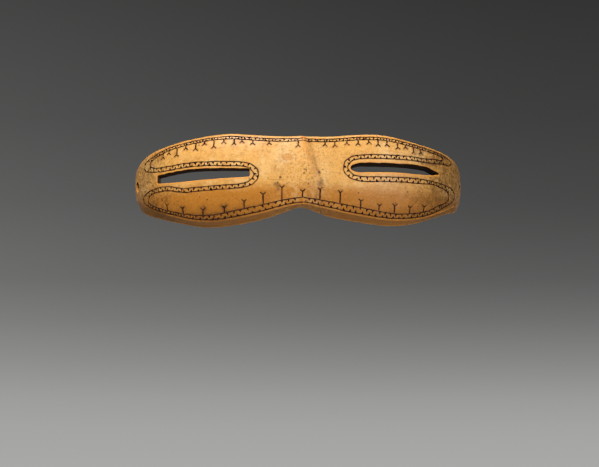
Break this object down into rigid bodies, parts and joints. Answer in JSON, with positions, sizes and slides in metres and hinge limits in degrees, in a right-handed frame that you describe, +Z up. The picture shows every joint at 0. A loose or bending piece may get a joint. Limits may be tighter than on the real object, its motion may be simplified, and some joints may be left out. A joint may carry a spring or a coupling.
{
  "type": "snow goggles",
  "caption": "Carved ivory snow goggles: a curved eye shield with two narrow sight slits, strap holes and a pigment-filled engraved border, worn against snow glare.",
  "frame": {"origin": "top of the nose notch, in the middle of the wall that sits on the bridge of the nose", "axes": "+X along the width, -Y out of the front, +Z up from the notch to the brow"},
  "size_m": [0.12, 0.0393, 0.0341],
  "materials": {
    "ivory": "polished by hand and use, warm and mottled",
    "pigment": "matt dark paste worn flush with the surface"
  },
  "bodies": {
    "root": {"eye_shield": "ivory", "edge_line_left": "pigment", "edge_line_right": "pigment", "field_line_left": "pigment", "field_line_right": "pigment", "brow_forks_left": "pigment", "brow_forks_right": "pigment", "cheek_forks_left": "pigment", "cheek_forks_right": "pigment", "nose_fork": "pigment"}
  },
  "joints": []
}
